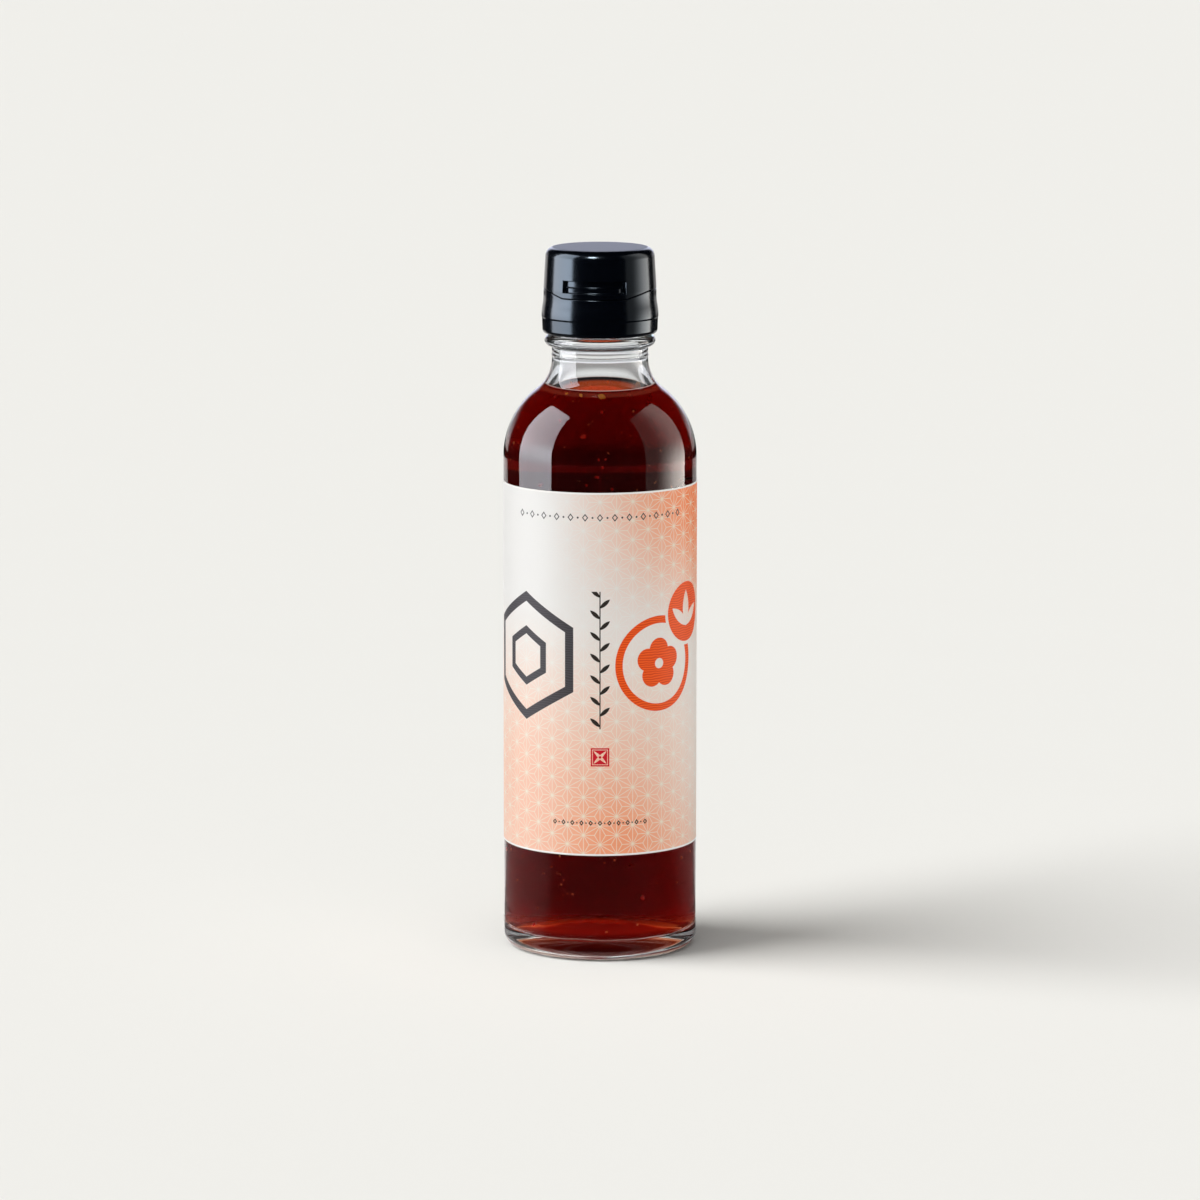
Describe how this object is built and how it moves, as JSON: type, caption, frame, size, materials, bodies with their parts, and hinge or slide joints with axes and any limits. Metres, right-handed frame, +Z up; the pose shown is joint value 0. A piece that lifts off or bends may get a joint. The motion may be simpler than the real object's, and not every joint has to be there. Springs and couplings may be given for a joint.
{
  "type": "sauce bottle",
  "caption": "Slender round clear-glass sauce bottle, full of dark red-brown citrus soy sauce, with a wrap-round paper label and a shut flip-top cap.",
  "frame": {"origin": "centre of the footprint, on the plane that the bottle stands on", "axes": "+Z up along the bottle's axis, -Y towards the front of the label, +X to the right seen from the front"},
  "size_m": [0.0492, 0.0492, 0.1792],
  "materials": {
    "glass": "clear, smooth, faint blue-green in the thick base",
    "sauce": "dark red-brown liquid",
    "label": "semi-gloss laid paper, cream to coral print",
    "cap": "gloss blue-black moulding"
  },
  "bodies": {
    "root": {"glass_bottle": "glass", "sauce": "sauce", "label": "label", "cap_base": "cap", "cap_lid": "cap", "cap_hinge": "cap"}
  },
  "joints": []
}
